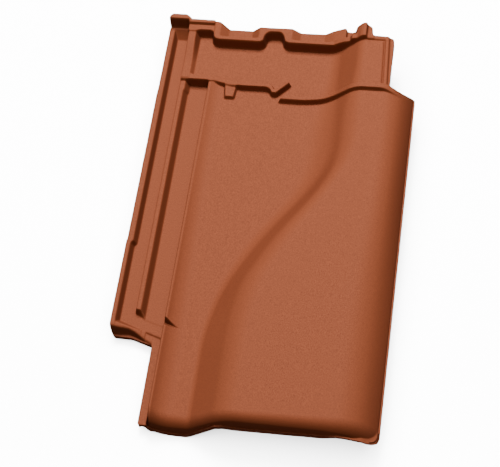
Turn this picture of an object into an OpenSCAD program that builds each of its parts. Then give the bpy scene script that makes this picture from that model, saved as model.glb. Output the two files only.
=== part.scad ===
// Pressed clay interlocking roof tile with a double side lock, a head lock and a swept roll.
// Lengths are millimetres. Inside the modules x runs from the side lock (left) to the cover flap (right),
// y from the foot (the eaves end) to the head (the ridge end), and z from the level floor the tile lies on.

/* [Overall size] */
// Width over the side lock and the cover flap
tile_w = 268; // [262:1:274]
// Length from the foot to the block at the head
tile_l = 452; // [446:1:460]
// Thickness of the fired clay
clay_t = 12; // [10:0.5:14]

/* [Pan and roll] */
// Height of the trough floor above the level that the tile lies on
trough_z = 24; // [23:0.5:27]
// Rise of the roll above the trough floor at the foot
roll_foot_h = 33.5; // [30:0.5:36]
// Rise of the roll above the trough floor at the head
roll_head_h = 28.5; // [26:0.5:31]
// Height of the cover flap's edge above the trough floor
flap_h = 3; // [1:0.5:6]

/* [Foot] */
// Radius of the fold at the foot
fold_r = 6; // [5:0.5:9]
// Thickness of the down-turned foot lip
lip_t = 12; // [10:0.5:14]

/* [Side lock] */
// Width of the outer rib at its top
outer_rib_w = 6; // [5:0.5:7]
// Left edge of the middle rib
mid_rib_x = 23; // [22:0.5:24]
// Width of the middle rib at its top
mid_rib_w = 4.5; // [4:0.5:6]
// Left edge of the inner rib
inner_rib_x = 53; // [51:0.5:54]
// Rise of the inner rib above the trough floor at the foot
inner_rib_foot_h = 11.5; // [8:0.5:13]
// Rise of the inner rib above the trough floor at the cover ridge
inner_rib_head_h = 5; // [4:0.5:7]
// Depth of the two channels below the trough floor
channel_d = 8; // [7:0.5:9]
// Left edge of the tile below the side lock
notch_x = 44; // [42:0.5:46]
// Distance from the foot to the inner end of the side lock
notch_y = 84; // [79:1:89]

/* [Head lock] */
// Height of the head rim above the trough floor
rim_h = 13.5; // [12:0.5:16]
// Distance from the foot to the inner face of the head rim
rim_y = 422.5; // [419:0.5:426]
// Distance from the foot to the outer face of the head rim
rim_back_y = 442.5; // [440:0.5:445]
// Distance from the foot to the cover ridge's face at the side lock
ridge_y = 376.5; // [373:0.5:380]
// Height of the cover ridge above the trough floor
ridge_h = 8; // [6:0.5:9]
// Right edge of the head, where the cover flap starts
head_edge_x = 242; // [240:0.5:244]
// Distance from the foot to the head end of the cover flap
flap_end_y = 369; // [366:0.5:372]

/* [Lugs] */
// Width of each hanging lug
lug_w = 36; // [30:1:40]
// Thickness of each lug along the tile
lug_t = 15; // [14:1:20]
// Distance from the foot to the batten face of the lugs
lug_y = 402; // [396:1:406]

/* [Hidden] */
// The sweep of the roll. Distances from the foot, then across the tile where the slope starts and how widely
// that bend is rounded, then where the slope ends and how widely that bend is rounded.
start_x = [[95, 91], [140, 100.5], [170, 113.5], [200, 129], [230, 149.5], [260, 170.5], [290, 179.5], [380, 182]];
start_soft = [[95, 3], [170, 7], [260, 13], [290, 16], [350, 15], [380, 7]];
end_x = [[95, 127.5], [140, 132], [170, 146], [200, 161], [230, 181], [260, 197], [290, 208], [380, 210]];
end_soft = [[95, 12], [200, 11], [260, 8], [320, 12], [380, 5]];
// Lower edge of the foot lip across the tile, above the floor
lip_edge = [
    [44, trough_z - 6], [54, trough_z - 14], [63, trough_z - 20], [71, 1], [78, 0], [87, 0], [92, trough_z - 20.5],
    [103, trough_z - 9], [114, trough_z + 3], [119, trough_z + 9], [160, trough_z + 10], [217, trough_z + 12],
    [230, trough_z + 16], [238, trough_z + 16], [252, trough_z + 11], [260, trough_z + 5], [270, trough_z + 1]
];
rib_z = trough_z + 1;
channel_z = trough_z - channel_d;
lock_base_z = channel_z - 8;
under_min_z = 6;
head_rib_h = 5;
rim_t = 6;
recess_h = 5;
bay_x = [105, 127];
bay_y = rim_y + 14;
battlement_x = 56;
battlement_y = rim_back_y + 4;
battlement_h = 15;
block_t = 7.5;
roll_rim_end_x = 219;
// Rise of the rim's top above the trough floor where it follows the roll
roll_rim_h = [
    [178, 13], [184.5, 17], [191, 19.7], [196.5, 21.8], [198.5, 26.5], [204, 28.3], [207.5, 32], [210.5, 34],
    [213.3, 34.3], [214.5, 30], [221, 29.5]
];
flap_rib_x = 226;
flap_rib_w = 7;
flap_rib_z = trough_z + 1.5;
flap_thin = 7;
lug_x = [84, 180];
// Stations of the pan: across the tile, and along it past the fold.
pan_x = [
    inner_rib_x, 54.5, 56.5, 59, 62, 66, 71, 78, 87, for (x = [91:4:219]) x, for (x = [223:5:263]) x, 267, tile_w + 2
];
pan_y = [
    for (y = [fold_r + 1:10:107]) y, for (y = [116:9:350]) y, 356, ridge_y - 3, ridge_y + 1, 390, 405, 420, 435, 450
];
fold_steps = 5;

// 0 to 1 with level ends
function ease(t) = let (u = min(1, max(0, t))) u * u * (3 - 2 * u);
function mix(a, b, t) = a + (b - a) * t;

// 0 before the place and then rising with slope 1, rounded over the width on both sides
function bend(x, place, width) =
    let (t = min(width, max(-width, x - place)))
    pow(t + width, 2) / (4 * width) + max(0, x - place - width);

// Height of the crest along the tile, and of the roll's left slope and right side across it
function crest_h(y) = mix(roll_foot_h, roll_head_h, ease(y / tile_l));
function roll_z(x, y) =
    let (a = lookup(y, start_x), b = lookup(y, end_x))
    crest_h(y) * (bend(x, a, lookup(y, start_soft)) - bend(x, b, lookup(y, end_soft))) / (b - a);
function flap_z(x, y) =
    let (start = 226 + 10 * ease((y - 100) / 180), t = min(1, max(0, (x - start) / (tile_w - start))))
    y > ridge_y ? 0 : (crest_h(y) - flap_h) * pow(t, 2.2);

// The inner rib falls to the trough in a long curve that is widest at the foot.
function rib_h(y) = mix(inner_rib_foot_h, inner_rib_head_h, ease(y / ridge_y));
function rib_w(y) = mix(20, 13, ease(y / ridge_y));
function inner_rib_z(x, y) = y > ridge_y ? 0 : rib_h(y) * pow(1 - min(1, max(0, (x - 56) / rib_w(y))), 2);
function pan_z(x, y) = trough_z + roll_z(x, y) - flap_z(x, y);
function top_z(x, y) = pan_z(x, y) + inner_rib_z(x, y);
function lip_z(x) = lookup(x, lip_edge);

// Outline of the tile cut lengthwise at x: fold, top, underside, lip.
function fold_row(x) = [
    for (i = [0:fold_steps - 1])
        let (a = 90 * i / fold_steps)
        [x, fold_r * (1 - cos(a)), top_z(x, 0) - fold_r * (1 - sin(a))]
];
function top_row(x) = [for (y = pan_y) [x, y, top_z(x, y)]];
function under_z(x, y) = max(pan_z(x, y) - clay_t + flap_thin * ease((x - 240) / 28), under_min_z);
function under_row(x) = [for (i = [len(pan_y) - 1:-1:1]) [x, pan_y[i], under_z(x, pan_y[i])]];
function lip_row(x) = [[x, lip_t + 2, under_z(x, lip_t)], [x, lip_t, lip_z(x)], [x, 0, lip_z(x)]];
function pan_section(x) = concat(fold_row(x), top_row(x), under_row(x), lip_row(x));

// A solid through a list of sections with the same number of points.
module loft(sections) {
    count = len(sections[0]);
    last = (len(sections) - 1) * count;
    sides = [
        for (i = [0:len(sections) - 2], j = [0:count - 1])
            let (a = i * count + j, b = i * count + (j + 1) % count)
            each [[a, b, b + count], [a, b + count, a + count]]
    ];
    polyhedron(
        points = [for (s = sections) each s],
        faces = concat(
            sides,
            [[for (j = [count - 1:-1:0]) j]],
            [[for (j = [0:count - 1]) last + j]]
        ),
        convexity = 8
    );
}

// The pan with its roll, inner rib, foot lip and cover flap.
module pan() {
    loft([for (x = pan_x) pan_section(x)]);
}

// Slanting gap across the inner rib, where the side lock ends.
module rib_gap() {
    translate([inner_rib_x - 3, 101.8, trough_z + 1.5])
        rotate([0, 0, -18])
            rotate([90, 0, 90])
                linear_extrude(25)
                    polygon([[0, 0], [-6, 14], [14, 14]]);
}

// The two water channels between the outer, middle and inner ribs.
module side_lock() {
    profile = [
        [-2, lock_base_z], [-2, rib_z], [outer_rib_w, rib_z], [outer_rib_w + 3, channel_z],
        [mid_rib_x - 1, channel_z], [mid_rib_x, rib_z], [mid_rib_x + mid_rib_w, rib_z],
        [mid_rib_x + mid_rib_w + 4.5, channel_z], [inner_rib_x + 7.5, channel_z],
        [inner_rib_x + 7.5, lock_base_z]
    ];
    difference() {
        translate([0, tile_l - block_t + 1, 0])
            rotate([90, 0, 0])
                linear_extrude(tile_l - block_t - 2)
                    polygon(profile);
        lock_end();
    }
}

// Cuts the middle rib short and rounds the lock's foot end.
module lock_end() {
    translate([mid_rib_x - 2, 0, channel_z])
        cube([inner_rib_x - mid_rib_x, 117, channel_d + 4]);
    translate([-5, 0, 0])
        rotate([90, 0, 90])
            linear_extrude(mid_rib_x + 6)
                polygon([[80, channel_z - 5], [93, channel_z - 5], [96, channel_z], [101, rib_z + 1], [80, rib_z + 1]]);
}

// The flat head part between the side lock and the roll, above the cover ridge.
module head_floor() {
    translate([mid_rib_x + 0.6, ridge_y + 2, lock_base_z + 1])
        cube([inner_rib_x - mid_rib_x + 1, battlement_y - ridge_y, trough_z - lock_base_z - 1.2]);
    translate([0, rim_back_y - 4, 0])
        rotate([90, 0, 0])
            linear_extrude(rim_back_y - 390)
                polygon([
                    [mid_rib_x - 1, channel_z - 1], [mid_rib_x, trough_z + head_rib_h],
                    [mid_rib_x + 8, trough_z + head_rib_h], [mid_rib_x + 13, trough_z - 1]
                ]);
}

// Closes the head end of the outer channel with a ramp and a block.
module channel_stop() {
    translate([3, 0, 0])
        rotate([90, 0, 90])
            linear_extrude(mid_rib_x - 2)
                polygon([
                    [tile_l - 19, channel_z - 1], [tile_l - 19, channel_z], [tile_l - 9, rib_z],
                    [tile_l - 5, rib_z], [tile_l - 5, channel_z - 1]
                ]);
    translate([-2, tile_l - block_t, lock_base_z + 2])
        cube([mid_rib_x + 5, block_t + 2, trough_z + battlement_h + 0.5 - lock_base_z - 2]);
}

// The rim that stands across the head: battlement at the left, low wall with a bay, and the part on the roll.
module head_rim() {
    translate([0, 0, trough_z - 2])
        linear_extrude(rim_h + 2)
            polygon([
                [mid_rib_x + 1, rim_y + 12], [50, rim_y + 12], [53, rim_y + 1.5], [57, rim_y], [bay_x[0] - 2, rim_y],
                [bay_x[0] + 1, bay_y], [bay_x[1] - 2, bay_y], [bay_x[1] + 2, rim_y], [roll_rim_h[0][0] + 1, rim_y],
                [roll_rim_h[0][0] + 1, rim_y + rim_t], [bay_x[1] + 7, rim_y + rim_t], [bay_x[1] + 6, rim_back_y + 2],
                [bay_x[0] - 5, rim_back_y + 2], [bay_x[0] - 6, rim_y + rim_t], [60, rim_y + rim_t],
                [battlement_x, tile_l], [mid_rib_x + 1, tile_l]
            ]);
    translate([mid_rib_x + 2, rim_back_y - 1, trough_z])
        cube([battlement_x - mid_rib_x, 8, battlement_h]);
    for (x = [[58, bay_x[0] - 4], [bay_x[1] + 5, roll_rim_h[0][0] + 2]])
        translate([x[0], rim_y + 4, trough_z - 3])
            cube([x[1] - x[0], rim_back_y - rim_y, recess_h + 3]);
    loft([
        for (place = roll_rim_h)
            let (x = place[0], z = trough_z + place[1])
            [[x, rim_y + 0.5, z], [x, tile_l - 6, z], [x, tile_l - 6, trough_z - 1], [x, rim_y + 0.5, trough_z - 1]]
    ]);
}

// The ridge that the next tile's foot closes against, in two overlapping parts.
module cover_ridge() {
    translate([0, 0, channel_z - 1])
        linear_extrude(ridge_h + channel_d - 2.5)
            polygon([
                [mid_rib_x + 0.5, ridge_y + 1.5], [60, ridge_y + 1], [68, ridge_y - 1.5], [82, ridge_y - 4.5],
                [82, ridge_y + 2.5], [64, ridge_y + 6], [mid_rib_x + 0.5, ridge_y + 9.9]
            ]);
    translate([0, 0, trough_z - 1])
        linear_extrude(ridge_h + 1)
            polygon([
                [78, ridge_y - 4], [90, ridge_y - 5.5], [115, ridge_y - 5.5], [118.6, ridge_y - 7],
                [120.6, ridge_y - 11], [126, ridge_y - 11.5], [139.6, ridge_y + 2.5], [136.8, ridge_y + 5],
                [125, ridge_y - 6], [121, ridge_y + 0.5], [92, ridge_y + 0.7], [78, ridge_y + 2.8]
            ]);
    translate([72, ridge_y - 16, trough_z - 2])
        cube([11, 13, 6.5]);
    loft([
        for (x = [131:6:245])
            let (
                low = ridge_y - 17.5 + 3.6 * ease((x - 150) / 42),
                rise = ridge_h - 1.2 - 6 * ease((x - 190) / 62)
            )
            [
                [x, low, top_z(x, low) + rise], [x, low + 7, top_z(x, low + 7) + rise],
                [x, low + 7, top_z(x, low + 7) - 3], [x, low, top_z(x, low) - 3]
            ]
    ]);
}

// The rib under the cover flap that drops into the next tile's outer channel.
module flap_rib() {
    translate([flap_rib_x, lip_t - 2, flap_rib_z])
        cube([flap_rib_w, flap_end_y - 17 - lip_t, 24]);
}

// A lug that hooks over the roofing batten, joined to the underside along its whole width.
module lug(centre) {
    edge = [for (t = [0.5, 0.25, 0, -0.25, -0.5]) centre + t * lug_w];
    translate([0, lug_y + lug_t, 0])
        rotate([90, 0, 0])
            linear_extrude(lug_t)
                polygon(concat(
                    [[edge[4], 0], [edge[0], 0]],
                    [for (x = edge) [x, top_z(x, lug_y) - clay_t / 2]]
                ));
}

// The tile's outline seen from above, open beyond the foot.
module outline() {
    polygon([
        [notch_x, -3], [tile_w - 9, -3], [tile_w - 5, 1.5], [tile_w - 1, 5], [tile_w, 9],
        [tile_w, flap_end_y - 7], [tile_w - 2, flap_end_y - 2], [tile_w - 6, flap_end_y], [head_edge_x, flap_end_y],
        [head_edge_x, rim_y + 3], [head_edge_x - 2, rim_y + 6], [roll_rim_end_x + 0.5, rim_y + 6.5],
        [roll_rim_end_x - 1, rim_back_y - 4], [213, rim_back_y - 2], [204, rim_back_y - 3], [192, rim_back_y - 2],
        [189, rim_back_y], [66, rim_back_y], [battlement_x, battlement_y], [mid_rib_x + 2.5, battlement_y],
        [mid_rib_x - 3, tile_l], [6, tile_l], [1.2, tile_l - 4], [0.7, 350], [0, 186], [0, 99], [1, 92], [4, 90.5],
        [21, 90], [33, notch_y + 3], [notch_x - 1, notch_y]
    ]);
}

module roof_tile() {
    color("sienna")
        translate([-tile_w / 2, -tile_l / 2, 0])
            // brings the pressed shape to exactly its fired width and length
            resize([tile_w, tile_l, 0])
                intersection() {
                    linear_extrude(trough_z + roll_foot_h + rim_h)
                        outline();
                    union() {
                        difference() {
                            pan();
                            rib_gap();
                        }
                        side_lock();
                        head_floor();
                        channel_stop();
                        head_rim();
                        cover_ridge();
                        flap_rib();
                        for (x = lug_x)
                            lug(x);
                    }
                }
}

roof_tile();
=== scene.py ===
import math

import bpy
import numpy as np
from mathutils import Matrix, Vector


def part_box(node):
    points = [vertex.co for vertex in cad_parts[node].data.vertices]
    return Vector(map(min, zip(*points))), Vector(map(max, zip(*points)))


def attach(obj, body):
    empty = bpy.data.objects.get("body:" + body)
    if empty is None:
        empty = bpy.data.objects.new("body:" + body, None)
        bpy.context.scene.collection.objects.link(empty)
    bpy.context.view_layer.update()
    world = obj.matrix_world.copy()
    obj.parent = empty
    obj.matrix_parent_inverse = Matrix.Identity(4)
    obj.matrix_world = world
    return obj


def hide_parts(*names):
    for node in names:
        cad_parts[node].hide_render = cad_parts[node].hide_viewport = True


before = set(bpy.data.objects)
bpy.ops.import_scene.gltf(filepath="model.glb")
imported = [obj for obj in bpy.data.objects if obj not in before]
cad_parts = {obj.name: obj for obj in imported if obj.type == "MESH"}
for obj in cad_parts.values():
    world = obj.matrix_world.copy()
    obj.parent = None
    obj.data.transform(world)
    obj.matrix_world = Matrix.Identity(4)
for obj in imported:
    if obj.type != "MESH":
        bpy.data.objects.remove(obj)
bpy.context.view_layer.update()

LOW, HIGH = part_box("roof_tile")
MM = 0.001

# Tile sizes in millimetres: x runs from the side lock, y from the foot, z from the trough floor.
TILE_W = (HIGH.x - LOW.x) / MM
TILE_L = (HIGH.y - LOW.y) / MM
# Height of the trough floor over what the tile lies on
TROUGH_Z = 24.0
CLAY_T = 12.0

# Distance between points of the top surface, and how widely its edges are softened
GRID = 0.5
SOFTEN = 0.5
# The same for the underside
UNDER_GRID = 1.0
UNDER_SOFTEN = 0.8
# Rise of most pressed walls for each millimetre across
DRAFT = 7.0

# Further than NEAR from an outline's box, a point counts as FAR outside it
NEAR = 3
FAR = 99.0

MOST_TRIANGLES = 190000
SHARP_ANGLE = math.radians(32)


def ease(t):
    """0 to 1 with level ends."""
    u = np.clip(t, 0, 1)
    return u * u * (3 - 2 * u)


def between(value, start, end):
    """0 up to start, 1 from end on, eased between them."""
    return ease((value - start) / (end - start))


def step(value, place, width):
    """0 before place, 1 after it, over width."""
    return ease((value - place) / width + 0.5)


def along(x, points):
    """Value at x on the line through (x, value) points."""
    places, values = zip(*points)
    return np.interp(x, places, values)


def slant(x, line):
    """y at x on a slanting line, given as a point's x and y and how much y falls with x."""
    at_x, at_y, fall = line
    return at_y - (x - at_x) * fall


def inside(x, y, corners):
    """Depth inside a closed outline in plan, negative outside it."""
    xs, ys = zip(*corners)
    near = (x > min(xs) - NEAR) & (x < max(xs) + NEAR) & (y > min(ys) - NEAR) & (y < max(ys) + NEAR)
    depth = np.full(x.shape, -FAR)
    x, y = x[near], y[near]
    within = np.zeros(x.shape, bool)
    best = np.full(x.shape, FAR)
    for (ax, ay), (bx, by) in zip(corners, corners[1:] + corners[:1]):
        ex, ey = bx - ax, by - ay
        t = np.clip(((x - ax) * ex + (y - ay) * ey) / (ex * ex + ey * ey), 0, 1)
        best = np.minimum(best, np.hypot(x - ax - t * ex, y - ay - t * ey))
        if ay != by:
            within ^= ((ay > y) != (by > y)) & (x < (bx - ax) * (y - ay) / (by - ay) + ax)
    depth[near] = np.where(within, best, -best)
    return depth


def rounded(corners, radius, steps=5):
    """The outline with its corners turned into arcs of up to that radius."""
    done = []
    for i, corner in enumerate(corners):
        p = np.array(corner, float)
        back = np.array(corners[i - 1], float) - p
        ahead = np.array(corners[(i + 1) % len(corners)], float) - p
        # an arc takes up less than half of each side that it joins
        reach = min(radius, np.linalg.norm(back) * 0.45, np.linalg.norm(ahead) * 0.45)
        a = p + back / np.linalg.norm(back) * reach
        b = p + ahead / np.linalg.norm(ahead) * reach
        for t in np.linspace(0, 1, steps):
            q = (1 - t) ** 2 * a + 2 * t * (1 - t) * p + t * t * b
            done.append((float(q[0]), float(q[1])))
    return done


def block(z, x, y, corners, top, radius, draft=DRAFT):
    """Stands a drafted block with that foot outline on the surface."""
    depth = inside(x, y, rounded(corners, radius))
    return np.where(depth > 0, np.maximum(z, np.minimum(top, z + depth * draft)), z)


def gaussian(z, sigma):
    """The surface softened, with sigma in grid steps."""
    reach = int(math.ceil(3 * sigma))
    taps = np.exp(-0.5 * (np.arange(-reach, reach + 1) / sigma) ** 2)
    taps /= taps.sum()
    for axis in (0, 1):
        padded = np.pad(z, [(reach, reach) if a == axis else (0, 0) for a in (0, 1)], mode="edge")
        rows = z.shape[axis]
        z = sum(tap * np.take(padded, range(k, k + rows), axis) for k, tap in enumerate(taps))
    return z


# ---------------------------------------------------------------- pan and roll

ROLL_FOOT_H = 33.5
ROLL_HEAD_H = 28.5
# The roll's left slope, as y, the x where it starts and its rounding there, and the same where it ends
SWEEP = [
    (95, 91.3, 3, 127.5, 12), (140, 100.5, 5, 132, 13), (170, 113.5, 7, 146, 12),
    (200, 129, 10, 161, 11), (230, 149.5, 10, 181, 9), (260, 170.5, 13, 197, 8),
    (290, 179.5, 16, 208, 10), (320, 179, 16, 208.5, 12), (350, 179.5, 15, 207.5, 11),
    (380, 181.5, 7, 210, 5),
]
# Shifts in y over which the stations are averaged
SWEEP_SHIFTS = (-16, -8, 0, 8, 16)

# The roll's right side falls to the cover flap's edge, from further out at the head than at the foot
FLAP_Z = 3.0
FALL_X = 226
FALL_SHIFT = 10
FALL_SHIFT_FROM_Y, FALL_SHIFT_TO_Y = 100, 280
FALL_POWER = 2.2
FLAP_END_Y = 370

# The rib between the side lock and the trough, which is highest and widest at the foot
INNER_RIB_X = 53.6
INNER_RIB_TOP_X = 56
INNER_RIB_FOOT_H, INNER_RIB_FOOT_W = 11.5, 20
INNER_RIB_HEAD_H, INNER_RIB_HEAD_W = 5.0, 13
INNER_RIB_HEAD_Y = 380
INNER_RIB_ROUND = 0.6
# The slanting cut through it, with the slopes of its two sides and the x where it fades into the trough.
# CUT_ACROSS turns a distance along y into one across the cut.
CUT_LINE = (INNER_RIB_X, 103, 0.35)
CUT_ACROSS = 0.95
CUT_FLOOR = 0.3
CUT_HEAD_SLOPE = 3.2
CUT_FOOT_SLOPE = 2.2
CUT_END_X = 69

# The side lock's wall ends before PAN_X, and the head part starts at RIDGE_Y
PAN_X = INNER_RIB_X + 4
RIDGE_Y = 378.0


def swept(y, column):
    """A sweep value at y, with the line through the stations smoothed."""
    stations = [(station[0], station[column]) for station in SWEEP]
    return sum(along(y + shift, stations) for shift in SWEEP_SHIFTS) / len(SWEEP_SHIFTS)


def bend(x, place, width):
    """0 before place and then rising with slope 1, rounded over width on both sides."""
    t = np.clip(x - place, -width, width)
    return (t + width) ** 2 / (4 * width) + np.maximum(x - place - width, 0)


def crest_height(y):
    """Height of the roll's crest, which falls toward the head."""
    return ROLL_HEAD_H + (ROLL_FOOT_H - ROLL_HEAD_H) * (1 - between(y, 0, TILE_L))


def roll_height(x, y):
    """The roll, whose left slope sweeps across the tile between foot and head."""
    start, soft_start, end, soft_end = (swept(y, column) for column in (1, 2, 3, 4))
    return crest_height(y) * (bend(x, start, soft_start) - bend(x, end, soft_end)) / (end - start)


def flap_drop(x, y):
    """The roll's right side, down to the cover flap's edge."""
    start = FALL_X + FALL_SHIFT * between(y, FALL_SHIFT_FROM_Y, FALL_SHIFT_TO_Y)
    t = np.clip((x - start) / (TILE_W - start), 0, 1)
    return np.where(y > FLAP_END_Y, 0, (crest_height(y) - FLAP_Z) * t ** FALL_POWER)


def pan_height(x, y):
    """The trough and the roll, with the inner rib at the trough's left."""
    toward_foot = 1 - between(y, 0, INNER_RIB_HEAD_Y)
    high = INNER_RIB_HEAD_H + (INNER_RIB_FOOT_H - INNER_RIB_HEAD_H) * toward_foot
    wide = INNER_RIB_HEAD_W + (INNER_RIB_FOOT_W - INNER_RIB_HEAD_W) * toward_foot
    t = np.clip((x - INNER_RIB_TOP_X) / wide, 0, 1)
    rib = high * (1 - t) ** 2 - INNER_RIB_ROUND * between(x, 56.5, 54.5)
    cut = (y - slant(x, CUT_LINE)) * CUT_ACROSS
    gap = CUT_FLOOR + np.where(cut > 0, cut * CUT_HEAD_SLOPE, -cut * CUT_FOOT_SLOPE)
    rib = np.minimum(rib, gap + np.maximum(x - CUT_END_X, 0))
    return roll_height(x, y) - flap_drop(x, y) + np.where(y > RIDGE_Y - 1, 0, rib)


# ---------------------------------------------------------------- side lock

RIB_Z = 1.0
CHANNEL_Z = -8.0
RIB_H = RIB_Z - CHANNEL_Z
STRIP_Z = -10.2
NOTCH_X = 41.5
# Foot of the wall up to the inner rib, left of INNER_RIB_X
LOCK_WALL_RUN = 2.0
# Right side of what goes on past the ridge
OUTER_CHANNEL_X = 25

# Width of the outer rib's top, how much wider it is toward the head, and its slope
OUTER_RIB_W = 4.4
OUTER_RIB_WIDER = 2.3
OUTER_STEP_Y = 187
OUTER_RIB_SLOPE = 3.0
# The middle rib's top, from left to right, how much wider it is at the head, and its slopes
MID_RIB_X = 23.0
MID_RIB_RIGHT_X = 27.5
MID_RIB_WIDER = 1.0
MID_STEP_Y = 367
MID_RIB_LEFT_RUN = 1.2
MID_RIB_LEFT_SLOPE = 8
MID_RIB_RIGHT_SLOPE = 2.1
STEP_L = 4
# The middle rib's foot end: a face that runs further the more to the right it is
MID_RIB_END_Y = 114.9
MID_RIB_END_X = 22
MID_RIB_END_RUN, MID_RIB_END_SLANT = 1.1, 0.59
MID_RIB_LEAST_RUN, MID_RIB_MOST_RUN = 1, 7

# Slanting lines across the lock's foot end: where the outer channel starts to rise, a small step
# in the inner channel, and the head end of the low strip
SILL_LINE = (8, 105, 0.36)
CHANNEL_STEP_LINE = (33.8, 107.2, 0.29)
STRIP_LINE = (44, 92.5, 0.33)
SILL_END_X = 33
SILL_TOP = [(5, 0), (24, -4.6), (SILL_END_X, CHANNEL_Z)]
SILL_SLOPE = 1.5
CHANNEL_STEP = 0.5
INNER_CHANNEL_X = 30
STRIP_X = 34

# The lock's foot end, as x and y, with its rounding and the lip below it
LOCK_END = [(-5, 95.5), (8, 95), (18, 95), (24, 93), (34, 87.5), (44, 83)]
LOCK_END_R = 3.5
LOCK_END_SLOPE = 5
LOCK_LIP_Z = -19.0
LOCK_LIP_T = 6


def lock_height(x, y):
    """Outer rib, channel, middle rib and channel."""
    outer_x = OUTER_RIB_W + OUTER_RIB_WIDER * step(y, OUTER_STEP_Y, STEP_L)
    outer = RIB_Z - np.maximum(x - outer_x, 0) * OUTER_RIB_SLOPE
    middle_x = MID_RIB_RIGHT_X + MID_RIB_WIDER * step(y, MID_STEP_Y, STEP_L)
    left = CHANNEL_Z + (x - MID_RIB_X + MID_RIB_LEFT_RUN) * MID_RIB_LEFT_SLOPE
    right = RIB_Z - np.maximum(x - middle_x, 0) * MID_RIB_RIGHT_SLOPE
    middle = np.minimum(np.minimum(left, right), RIB_Z)
    run = MID_RIB_END_RUN + MID_RIB_END_SLANT * (x - MID_RIB_END_X)
    run = np.clip(run, MID_RIB_LEAST_RUN, MID_RIB_MOST_RUN)
    middle = np.minimum(middle, CHANNEL_Z + (y - MID_RIB_END_Y + run) * RIB_H / run)
    return np.maximum(np.maximum(outer, middle), CHANNEL_Z)


def lock_end(x, y, z):
    """The rounded-over foot end of the side lock."""
    edge = along(x, LOCK_END)
    back = np.clip((edge + LOCK_END_R - y) / LOCK_END_R, 0, 1)
    drop = LOCK_END_R * (1 - np.sqrt(1 - back * back)) + np.maximum(edge - y, 0) * LOCK_END_SLOPE
    return np.where(x < NOTCH_X, np.maximum(z - drop, LOCK_LIP_Z + LOCK_LIP_T), z)


def side_height(x, y):
    """The side lock, with its foot end and the low strip between it and the tile's foot."""
    z = lock_height(x, y)
    low = z < CHANNEL_Z + 0.5
    # toward the lock's foot end the outer channel rises to its rib
    rise = CHANNEL_Z + np.maximum(slant(x, SILL_LINE) - y, 0) * SILL_SLOPE
    z = np.where(x < SILL_END_X, np.maximum(z, np.minimum(along(x, SILL_TOP), rise)), z)
    z = z - low * (x > INNER_CHANNEL_X) * CHANNEL_STEP * step(slant(x, CHANNEL_STEP_LINE) - y, 0, 1.0)
    z = np.where((y < slant(x, STRIP_LINE)) & (x > STRIP_X), STRIP_Z, z)
    return lock_end(x, y, z)


# ---------------------------------------------------------------- head lock

RIM_Z = 13.3
# Foot of the head rim in plan, with its bay for a lug of the tile above
RIM_FOOT = [
    (22, 434.5), (33, 434), (49, 434.3), (50.5, 426.5), (54, 423.2), (59, 422.4), (102, 422.3),
    (106.6, 425), (107.8, 432), (110.3, 435.4), (121.5, 435.8), (124.3, 432.5), (126, 426),
    (131, 423), (170, 423), (190, 423.8), (222, 424), (222, 470), (22, 470),
]
# The raised point on the roll, as x and z, and the rim's top on its foot side and on its head side
RIM_POINT = [(207.5, 32), (210.5, 34), (213.3, 34.3), (214.3, 30), (219, 29.5)]
RIM_FRONT = [
    (57, RIM_Z), (179, 12.8), (186, 17), (191, 19.7), (196.5, 21.8), (198.3, 26.5), (204, 28.3),
] + RIM_POINT
RIM_BEHIND = [
    (58, RIM_Z), (67, 5), (91.5, 5), (100, RIM_Z), (134.5, RIM_Z), (143, 6), (168, 6),
    (178, 13), (191.5, 19.5), (192.3, 15.5), (200.5, 17), (202.5, 27),
] + RIM_POINT
# Where one side changes to the other, in plan
RIM_SPLIT = [(185, 429.3), (190, 431), (220, 431)]

# The block at the outer channel's head end, the rim's top beside it, and the ramp up to the block
CORNER_BLOCK = [(-4, 444.2), (26, 444.2), (30, 448), (30, 460), (-4, 460)]
CORNER_Z = 15.5
CORNER_X = 51.8
CORNER_Y = 442.4
CORNER_LOWER = 1.3
RAMP_LEFT_X, RAMP_RIGHT_X = 5, 23
RAMP_Y = 434
RAMP_L = 8.5

# The rib between the outer channel and the head's flat part, which rises toward the rim
HEAD_RIB_LEFT_X, HEAD_RIB_RIGHT_X = 21.8, 36
HEAD_RIB_FOOT_Y = 380
HEAD_RIB_Z = 5.0
HEAD_RIB_RISE = 5.5
HEAD_RIB_RUN = 3.9

# The panel on the roll's head part, with a groove round it and a step down to the right of both
PANEL_X, PANEL_Y = 214.5, 369.5
PANEL_HEAD_Y = 423.5
GROOVE_X, GROOVE_HEAD_Y, GROOVE_SLANT = 232.6, 423.8, 0.044
GROOVE_DEPTH = 2.5
GROOVE_HALF_W = 1.2
BORDER_X, BORDER_SLANT = 237.4, 0.05
BORDER_STEP = 3
BORDER_W = 2.2


def rim_top(x, y):
    """Top of the head rim: low between its raised parts, rising with the roll."""
    z = np.where(y > along(x, RIM_SPLIT), along(x, RIM_BEHIND), along(x, RIM_FRONT))
    return np.where(x < CORNER_X, np.where(y > CORNER_Y, CORNER_Z, RIM_Z - CORNER_LOWER), z)


def panel(x, y, z):
    """Cuts the panel's groove and the step beside it into the roll."""
    on_roll = (x > PANEL_X) & (y > PANEL_Y)
    toward_foot = PANEL_HEAD_Y - y
    beyond = np.maximum(x - GROOVE_X - toward_foot * GROOVE_SLANT, y - GROOVE_HEAD_Y)
    z = z - np.where(on_roll, GROOVE_DEPTH * np.maximum(1 - np.abs(beyond) / GROOVE_HALF_W, 0), 0)
    lower = BORDER_STEP * step(x - BORDER_X - toward_foot * BORDER_SLANT, 0, BORDER_W)
    return z - np.where(on_roll, lower, 0)


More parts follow.
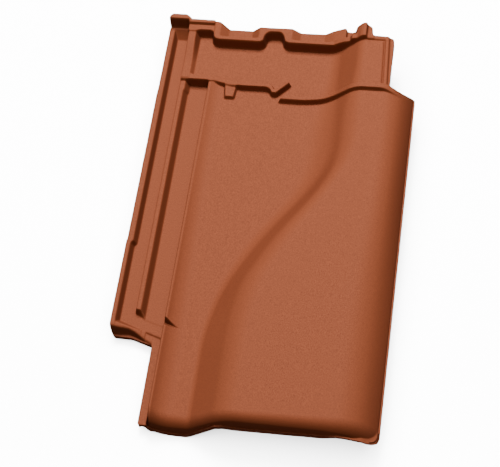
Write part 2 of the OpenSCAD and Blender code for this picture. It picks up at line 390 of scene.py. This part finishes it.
def head_height(x, y, z):
    """What stands past the cover ridge: the head's rib and rim, the block and the panel."""
    high = HEAD_RIB_Z + HEAD_RIB_RISE * between(y, 395, 433)
    left = CHANNEL_Z + (x - HEAD_RIB_LEFT_X) * MID_RIB_LEFT_SLOPE
    rib = np.minimum(np.minimum(left, (HEAD_RIB_RIGHT_X - x) * high / HEAD_RIB_RUN), high)
    on_rib = (x > 21) & (x < 38) & (y > HEAD_RIB_FOOT_Y)
    z = np.where(on_rib, np.maximum(z, rib), z)
    z = block(z, x, y, RIM_FOOT, rim_top(x, y), radius=2.5)
    # the closed head end of the outer channel: a ramp and a block
    ramp = CHANNEL_Z + np.clip((y - RAMP_Y) / RAMP_L, 0, 1) * RIB_H
    on_ramp = (x > RAMP_LEFT_X) & (x < RAMP_RIGHT_X) & (y > RAMP_Y)
    z = np.where(on_ramp, np.maximum(z, ramp), z)
    z = block(z, x, y, CORNER_BLOCK, CORNER_Z, radius=2)
    return panel(x, y, z)


# ---------------------------------------------------------------- cover ridge

# The left part in plan, its top as x and z, and the short spur below it
RIDGE_LEFT = [
    (22.6, 378.2), (46, 377.8), (60, 377.2), (67, 374.9), (77, 372.4), (90, 371), (114.8, 371.2),
    (118.6, 369.4), (120.6, 365.3), (126.2, 364.8), (140.0, 379.0), (137, 382), (124.5, 370.6),
    (121, 376.8), (92, 377.2), (78, 379), (64, 383), (22.6, 387),
]
RIDGE_TOP = [(24, 4.2), (56, 4.6), (68, 5.6), (90, 8.0)]
SPUR = [(70, 378), (84.8, 378), (82.8, 359.2), (72.4, 359.2)]
SPUR_Z = 4.5

# The right part, which waves over the roll: its slanting left end, its foot side, width and height.
# WAVE_END_ACROSS turns a distance along x into one across that end.
WAVE_X = 128.4
WAVE_END_SLANT, WAVE_END_ACROSS = 0.6, 0.8
WAVE_Y = 358.2
WAVE_W = 7.5
WAVE_H = 6.8
WAVE_DRAFT = 6
# How far it bends over the roll's left slope and back again, and how much lower it gets there and
# as it runs out toward the flap
WAVE_BEND, WAVE_BEND_BACK = 4, 2
WAVE_LOWER, WAVE_RUN_OUT = 2.0, 4.8


def ridge(x, y, z):
    """The ridge that the next tile's foot closes against, in two overlapping parts."""
    z = block(z, x, y, SPUR, SPUR_Z, radius=1, draft=5)
    z = block(z, x, y, RIDGE_LEFT, along(x, RIDGE_TOP), radius=1.2, draft=9)
    low = WAVE_Y + WAVE_BEND * between(x, 150, 192) - WAVE_BEND_BACK * between(x, 236, 250)
    rise = WAVE_H - WAVE_LOWER * between(x, 183, 213) - WAVE_RUN_OUT * between(x, 231, 258)
    from_end = (x - WAVE_X - (y - low) * WAVE_END_SLANT) * WAVE_END_ACROSS
    depth = np.minimum(np.minimum(y - low, low + WAVE_W - y), from_end)
    return np.where(depth > 0, z + np.clip(depth * WAVE_DRAFT, 0, np.maximum(rise, 0)), z)


# ---------------------------------------------------------------- foot and edges

# The foot's lower edge, as x and z, and how far above it the mould's ledge lies
FOOT_LOW = [
    (40, -6), (46, -6), (54.5, -14), (63, -20), (71, -23), (78, -TROUGH_Z), (87, -TROUGH_Z),
    (92, -20.5), (103, -8.7), (114, 3.2), (119, 8.8), (126, 10.8), (138, 9.4), (161, 9.8),
    (217, 12), (230, 16.4), (238, 15.8), (252, 11.5), (260, 6), (268, 2),
]
LEDGE_H = [(215, 6.4), (235, 4), (268, 3)]
# How far back the fold starts, and its depth as a part of that
FOLD_REACH = [(54, 14), (75, 12.5), (105, 11), (150, 11), (215, 12.5), (250, 15)]
FOLD_DEPTH = 0.95
FOLD_LEFT_X = 53
# The face below the fold, which is all but upright, and the short slope above it
FACE_Y = 1.1
FACE_BACK_LEFT, FACE_OUT_RIGHT = 1.5, 0.4
FACE_SLOPE = 60
FACE_BEVEL = 1.2
FACE_BEVEL_SLOPE = 5
# Foot end of the strip at the left, beside the fold
STRIP_END_Y = 3.4
STRIP_END_SLOPE = 4

# The cover flap's long edge: its ledge, how far that lies below the flap along the edge and in the
# corner that it turns at the foot, and where it ends
FLAP_LEDGE_W = 1.9
FLAP_LEDGE_DROP = 1.5
FLAP_CORNER_DROP = 1.6
FLAP_CORNER_X = 259.5
FLAP_CORNER_R = 8.5
FLAP_CORNER_END_Y = 12
FLAP_LEDGE_END_Y = 367


def fold(x, y, z):
    """Folds the foot down to the narrow ledge left by the mould."""
    reach = along(x, FOLD_REACH)
    face = FACE_Y + FACE_BACK_LEFT * between(x, 57, 53) - FACE_OUT_RIGHT * between(x, 215, 230)
    # up to just under 1, because the quarter circle below is upright there
    t = np.clip((face + reach - y) / reach, 0, 0.999)
    # halfway between a parabola and a quarter circle
    curve = 0.5 * t * t + 0.5 - 0.5 * np.sqrt(1 - t * t)
    drop = FOLD_DEPTH * reach * curve + np.clip(face + FACE_BEVEL - y, 0, FACE_BEVEL) * FACE_BEVEL_SLOPE
    drop += np.clip(face - y, 0, 9) * FACE_SLOPE
    ledge = along(x, FOOT_LOW) + along(x, LEDGE_H)
    folded = (y < face + reach) & (x > FOLD_LEFT_X)
    z = np.where(folded, np.maximum(z - drop, np.minimum(ledge, z)), z)
    strip_end = z - np.clip(STRIP_END_Y - y, 0, 4) * STRIP_END_SLOPE
    return np.where((x < FOLD_LEFT_X) & (y < STRIP_END_Y), strip_end, z)


def flap_edge(x, y, z):
    """Steps the cover flap's long edge down to its narrow ledge, which turns the foot's corner."""
    from_centre = np.hypot(np.maximum(x - FLAP_CORNER_X, 0), np.minimum(y - FLAP_CORNER_R, 0))
    corner = np.where(x > FLAP_CORNER_X, FLAP_CORNER_R - from_centre, FAR)
    gap = np.where(y < FLAP_CORNER_R, np.minimum(TILE_W - x, corner), TILE_W - x)
    flat = crest_height(y) - flap_drop(TILE_W - FLAP_LEDGE_W, y) - FLAP_LEDGE_DROP
    on_ledge = (gap < FLAP_LEDGE_W) & (y < FLAP_LEDGE_END_Y) & (x > 255)
    return np.where(on_ledge, np.where(y > FLAP_CORNER_END_Y, flat, z - FLAP_CORNER_DROP), z)


# ---------------------------------------------------------------- whole surfaces

# The tile in plan, from the foot's left corner round by the cover flap, the head and the side lock
OUTLINE = rounded([
    (42.2, 3.6), (49, 3.2), (54, 0), (258, 0), (263, 1), (266.5, 4), (TILE_W, 9),
    (TILE_W, 369.4), (265, 368.4), (261, 367), (256, 366), (251, 366), (246, 366.6), (242.2, 368.2),
    (242.2, 425.5), (240.5, 428.3), (219.8, 429), (219.3, 437), (217, 439.5), (213.8, 440.5),
    (209, 440.8), (203.5, 439.5), (201.5, 438.5), (192.5, 440.5), (190, 442.6), (101, 442),
    (91, 442.3), (67, 442.2), (55.8, 446.3), (26.5, 446.6), (23.5, 450), (20, TILE_L),
    (5, TILE_L), (2.2, 448.5), (1.2, 440), (1.2, 367), (0.7, 360), (0.7, 191),
    (0, 186), (0, 99), (0.5, 93), (3, 90.8), (21, 90.3), (33, 86.6), (42.3, 84), (42.2, 75),
], radius=1.6)

# Clay under the channels and the strip, and how much thinner the flap is at its edge
LOCK_T = 9.0
STRIP_T = 4.5
FLAP_THINNER = 7
UNDER_STRIP_X, UNDER_STRIP_Y = 50, 80
# The lips below the foot and the lock's end: their widths and their slope inward
FOOT_LIP_W = 11
FOOT_LIP_LEFT_X = 42
LOCK_LIP_W = 8
LOCK_LIP_RIGHT_X = 45
LIP_SLOPE = 4
# Two hanging lugs and a rib below the flap
LUG_CENTRES = (84.0, 180.0)
LUG_FOOT_Y, LUG_HEAD_Y = 402.5, 416.5
LUG_FOOT_HALF_W, LUG_HEAD_HALF_W = 17.5, 17
LUG_CORNER_R = 3
FLAP_RIB_X = (226, 233)
FLAP_RIB_Y = (11, 353)
FLAP_RIB_Z = 1.5
UNDER_SLOPE = 5


def top_height(x, y):
    """The tile seen from above."""
    wall = CHANNEL_Z + (x - INNER_RIB_X + LOCK_WALL_RUN) * DRAFT
    pan = pan_height(x, y)
    side = side_height(x, y)
    beside_pan = x < PAN_X
    below = np.where(beside_pan, np.maximum(np.minimum(pan, wall), side), pan)
    # past the ridge only the outer channel goes on
    above = np.where(x < OUTER_CHANNEL_X, side, np.where(beside_pan, np.minimum(pan, 0), pan))
    z = np.where(y > RIDGE_Y, above, below)
    z = head_height(x, y, z)
    z = ridge(x, y, z)
    z = gaussian(z, SOFTEN / GRID)
    return flap_edge(x, y, fold(x, y, z))


def under_height(x, y):
    """The tile seen from below: hollow under the roll, with its lips, lugs and flap rib."""
    z = roll_height(x, y) - flap_drop(x, y) - CLAY_T + FLAP_THINNER * between(x, 240, 268)
    z = np.where(x < PAN_X, CHANNEL_Z - LOCK_T, z)
    z = np.where((x < UNDER_STRIP_X) & (y < UNDER_STRIP_Y), STRIP_Z - STRIP_T, z)
    lip = along(x, FOOT_LOW) + np.maximum(y - FOOT_LIP_W, 0) * LIP_SLOPE
    z = np.where(x > FOOT_LIP_LEFT_X, np.minimum(z, lip), z)
    lock_lip = LOCK_LIP_Z + np.maximum(y - along(x, LOCK_END) - LOCK_LIP_W, 0) * LIP_SLOPE
    z = np.where(x < LOCK_LIP_RIGHT_X, np.minimum(z, lock_lip), z)
    for centre in LUG_CENTRES:
        lug = [
            (centre - LUG_FOOT_HALF_W, LUG_FOOT_Y), (centre + LUG_FOOT_HALF_W, LUG_FOOT_Y),
            (centre + LUG_HEAD_HALF_W, LUG_HEAD_Y), (centre - LUG_HEAD_HALF_W, LUG_HEAD_Y),
        ]
        outside = np.maximum(-inside(x, y, rounded(lug, LUG_CORNER_R)), 0)
        z = np.minimum(z, -TROUGH_Z + outside * UNDER_SLOPE)
    away_x = np.maximum(FLAP_RIB_X[0] - x, x - FLAP_RIB_X[1])
    away_y = np.maximum(FLAP_RIB_Y[0] - y, y - FLAP_RIB_Y[1])
    away = np.maximum(np.maximum(away_x, away_y), 0)
    return np.minimum(z, FLAP_RIB_Z + away * UNDER_SLOPE)


# ---------------------------------------------------------------- solids

def to_frame(points):
    """Tile millimetres to the frame's metres."""
    return np.stack([
        LOW.x + points[:, 0] * MM,
        LOW.y + points[:, 1] * MM,
        LOW.z + (points[:, 2] + TROUGH_Z) * MM,
    ], 1)


def add_object(name, data):
    """A new object in the scene."""
    obj = bpy.data.objects.new(name, data)
    bpy.context.scene.collection.objects.link(obj)
    return obj


def surface(heights, grid, margin=3):
    """A height function sampled over the tile and a margin round it."""
    xs = np.arange(-margin, TILE_W + margin + grid / 2, grid)
    ys = np.arange(-margin, TILE_L + margin + grid / 2, grid)
    x, y = np.meshgrid(xs, ys, indexing="ij")
    return xs, ys, heights(x, y)


def grid_solid(name, heights, xs, ys, flat, up):
    """A closed solid between a height surface and a flat level, with the surface up or down."""
    nx, ny = len(xs), len(ys)
    gx, gy = np.meshgrid(xs, ys, indexing="ij")
    top = np.stack([gx, gy, heights], -1).reshape(-1, 3)
    index = np.arange(nx * ny).reshape(nx, ny)
    a, b = index[:-1, :-1].ravel(), index[1:, :-1].ravel()
    c, d = index[1:, 1:].ravel(), index[:-1, 1:].ravel()
    quads = np.stack([a, b, c, d], 1)
    # walls from the surface's border down, or up, to the flat level
    ring = np.concatenate([index[:-1, 0], index[-1, :-1], index[:0:-1, -1], index[0, :0:-1]])
    base = top[ring].copy()
    base[:, 2] = flat
    low = np.arange(len(ring)) + nx * ny
    walls = np.stack([ring, low, np.roll(low, -1), np.roll(ring, -1)], 1)
    quads = np.concatenate([quads, walls])
    base_face = low[::-1]
    if not up:
        quads = quads[:, ::-1]
        base_face = low
    verts = np.concatenate([top, base])
    loops = np.concatenate([quads.ravel(), base_face]).astype(np.int32)
    starts = np.concatenate([np.arange(len(quads)) * 4, [len(quads) * 4]]).astype(np.int32)
    totals = np.concatenate([np.full(len(quads), 4), [len(ring)]]).astype(np.int32)
    mesh = bpy.data.meshes.new(name)
    mesh.vertices.add(len(verts))
    mesh.vertices.foreach_set("co", to_frame(verts).astype(np.float32).ravel())
    mesh.loops.add(len(loops))
    mesh.loops.foreach_set("vertex_index", loops)
    mesh.polygons.add(len(starts))
    mesh.polygons.foreach_set("loop_start", starts)
    mesh.polygons.foreach_set("loop_total", totals)
    mesh.update(calc_edges=True)
    mesh.validate()
    return add_object(name, mesh)


def prism(name, outline, low, high):
    """An upright solid with that outline."""
    n = len(outline)
    pts = np.array([(x, y, low) for x, y in outline] + [(x, y, high) for x, y in outline])
    faces = [list(range(n))[::-1], list(range(n, 2 * n))]
    faces += [[i, (i + 1) % n, n + (i + 1) % n, n + i] for i in range(n)]
    mesh = bpy.data.meshes.new(name)
    mesh.from_pydata(to_frame(pts).tolist(), [], faces)
    return add_object(name, mesh)


def evaluated(obj):
    """Applies an object's modifiers."""
    graph = bpy.context.evaluated_depsgraph_get()
    mesh = bpy.data.meshes.new_from_object(obj.evaluated_get(graph))
    obj.modifiers.clear()
    obj.data = mesh
    return obj


def intersect(obj, *others):
    """Keeps what the object shares with each of the others, which are used up."""
    for other in others:
        modifier = obj.modifiers.new("cut", "BOOLEAN")
        modifier.operation = "INTERSECT"
        modifier.solver = "MANIFOLD"
        modifier.object = other
        evaluated(obj)
        bpy.data.objects.remove(other)
    return obj


def build_tile():
    """The tile's solid, between its top and its underside and within its outline."""
    xs, ys, top = surface(top_height, GRID)
    tile = grid_solid("clay_tile", top, xs, ys, flat=-60.0, up=True)
    xs, ys, under = surface(under_height, UNDER_GRID)
    under = gaussian(under, UNDER_SOFTEN / UNDER_GRID)
    under_side = grid_solid("underside", under, xs, ys, flat=90.0, up=False)
    return intersect(tile, under_side, prism("sides", OUTLINE, low=-50.0, high=80.0))


def limit_triangles(obj, most):
    """Thins the mesh to that many triangles."""
    count = sum(len(p.vertices) - 2 for p in obj.data.polygons)
    if count > most:
        modifier = obj.modifiers.new("thin", "DECIMATE")
        modifier.ratio = most / count
        evaluated(obj)
    return obj


# ---------------------------------------------------------------- clay

GRAIN_DARK = (0.058, 0.014, 0.005, 1)
GRAIN_LIGHT = (0.236, 0.0588, 0.0238, 1)
# Painted shade: darker colours that stand in for the shade on steep faces and on faces toward the foot
STEEP_PAINTED_SHADE = (0.086, 0.0185, 0.006, 1)
FOOT_PAINTED_SHADE = (0.12, 0.0265, 0.0078, 1)
# Painted shade mixed into the clay's colour: an axis of the surface's normal, its values where that
# starts and where it is full, and the shade colour
PAINTED_SHADE = (
    ("Z", 0.8, 0.42, STEEP_PAINTED_SHADE),
    ("Y", -0.35, -0.95, FOOT_PAINTED_SHADE),
)
# Sockets of a Mix node that mixes colours
MIX_FACTOR, MIX_A, MIX_B, MIX_RESULT = 0, 6, 7, 2


def clay():
    """Matt fired clay with a fine grain, with painted shade on the steep faces and on those toward the
    foot.
    """
    material = bpy.data.materials.new("fired_clay")
    material.use_nodes = True
    nodes = material.node_tree.nodes
    links = material.node_tree.links
    shader = nodes["Principled BSDF"]
    shader.inputs["Roughness"].default_value = 0.75
    shader.inputs["Specular IOR Level"].default_value = 0.1
    noise = nodes.new("ShaderNodeTexNoise")
    noise.inputs["Scale"].default_value = 360
    noise.inputs["Detail"].default_value = 4
    ramp = nodes.new("ShaderNodeValToRGB")
    ramp.color_ramp.elements[0].color = GRAIN_DARK
    ramp.color_ramp.elements[1].color = GRAIN_LIGHT
    links.new(noise.outputs["Fac"], ramp.inputs["Fac"])
    normal = nodes.new("ShaderNodeSeparateXYZ")
    links.new(nodes.new("ShaderNodeNewGeometry").outputs["Normal"], normal.inputs["Vector"])
    colour = ramp.outputs["Color"]
    # painted shade: a darker colour mixed in by the normal's tilt, on steep faces and on faces toward
    # the foot
    for axis, start, end, dark in PAINTED_SHADE:
        shade_amount = nodes.new("ShaderNodeMapRange")
        shade_amount.inputs["From Min"].default_value = start
        shade_amount.inputs["From Max"].default_value = end
        links.new(normal.outputs[axis], shade_amount.inputs["Value"])
        mix = nodes.new("ShaderNodeMix")
        mix.data_type = "RGBA"
        links.new(shade_amount.outputs["Result"], mix.inputs[MIX_FACTOR])
        links.new(colour, mix.inputs[MIX_A])
        mix.inputs[MIX_B].default_value = dark
        colour = mix.outputs[MIX_RESULT]
    links.new(colour, shader.inputs["Base Color"])
    return material


tile = limit_triangles(build_tile(), MOST_TRIANGLES)
for polygon in tile.data.polygons:
    polygon.use_smooth = True
tile.data.set_sharp_from_angle(angle=SHARP_ANGLE)
tile.data.materials.clear()
tile.data.materials.append(clay())
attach(tile, "root")
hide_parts("roof_tile")


# ---------------------------------------------------------------- floor, camera and lights

FLOOR_HALF = 3.0
FLOOR_COLOUR = (0.85, 0.85, 0.85, 1)

# Camera: what it looks at in the tile's millimetres, its lens and sensor in millimetres, where it
# stands round that point in degrees and metres, and how it is rolled
LOOK_AT = (123.33, 200.0, 12)
LENS, SENSOR_W = 102.45, 36
ELEVATION, AZIMUTH, ROLL = 61.752, 19.179, -12.504
DISTANCE = 1.38034
VIEW_END = 20


def floor():
    """A pale floor under the tile, which doesn't light it from below."""
    mesh = bpy.data.meshes.new("floor")
    corners = [(-1, -1), (1, -1), (1, 1), (-1, 1)]
    mesh.from_pydata([(x * FLOOR_HALF, y * FLOOR_HALF, 0) for x, y in corners], [], [[0, 1, 2, 3]])
    obj = add_object("floor", mesh)
    obj.location.z = LOW.z
    material = bpy.data.materials.new("pale_floor")
    material.use_nodes = True
    shader = material.node_tree.nodes["Principled BSDF"]
    shader.inputs["Base Color"].default_value = FLOOR_COLOUR
    shader.inputs["Roughness"].default_value = 0.9
    mesh.materials.append(material)
    obj.visible_diffuse = False
    obj.visible_glossy = False
    return obj


def camera():
    """Looks down at the tile from the foot's right."""
    data = bpy.data.cameras.new("camera")
    data.sensor_width = SENSOR_W
    data.lens = LENS
    data.clip_end = VIEW_END
    obj = add_object("camera", data)
    target = Vector(to_frame(np.array([LOOK_AT]))[0])
    elevation, azimuth, roll = (math.radians(angle) for angle in (ELEVATION, AZIMUTH, ROLL))
    back = Vector((
        math.sin(azimuth) * math.cos(elevation),
        -math.cos(azimuth) * math.cos(elevation),
        math.sin(elevation),
    ))
    side = Vector((0, 0, 1)).cross(back).normalized()
    up = back.cross(side)
    right = side * math.cos(roll) + up * math.sin(roll)
    turn = Matrix((right, back.cross(right), back)).transposed().to_4x4()
    obj.matrix_world = Matrix.Translation(target + back * DISTANCE) @ turn
    bpy.context.scene.camera = obj


def soft_box(name, place, size, power):
    """A rectangular light that faces the tile."""
    data = bpy.data.lights.new(name, "AREA")
    data.shape = "RECTANGLE"
    data.size, data.size_y = size
    data.energy = power
    obj = add_object(name, data)
    obj.location = place
    obj.rotation_euler = (-Vector(place)).to_track_quat("-Z", "Y").to_euler()
    return obj


def studio(backdrop):
    """A soft key light from beyond the head, two weak fills, and a wash for the floor alone."""
    soft_box("key_box", place=(-0.03, 0.85, 2.0), size=(0.6, 0.8), power=125)
    soft_box("wide_box", place=(0, 0.5, 2.2), size=(2.6, 1.6), power=25)
    soft_box("foot_fill", place=(0, -1.2, 1.0), size=(1.5, 1.0), power=6)
    wash = soft_box("floor_wash", place=(0, 0, 2.4), size=(4, 4), power=1300)
    alone = bpy.data.collections.new("floor_alone")
    alone.objects.link(backdrop)
    wash.light_linking.receiver_collection = alone
    world = bpy.data.worlds.new("studio")
    world.use_nodes = True
    background = world.node_tree.nodes["Background"]
    background.inputs["Color"].default_value = (1, 1, 1, 1)
    background.inputs["Strength"].default_value = 0.1
    bpy.context.scene.world = world


backdrop = floor()
camera()
studio(backdrop)
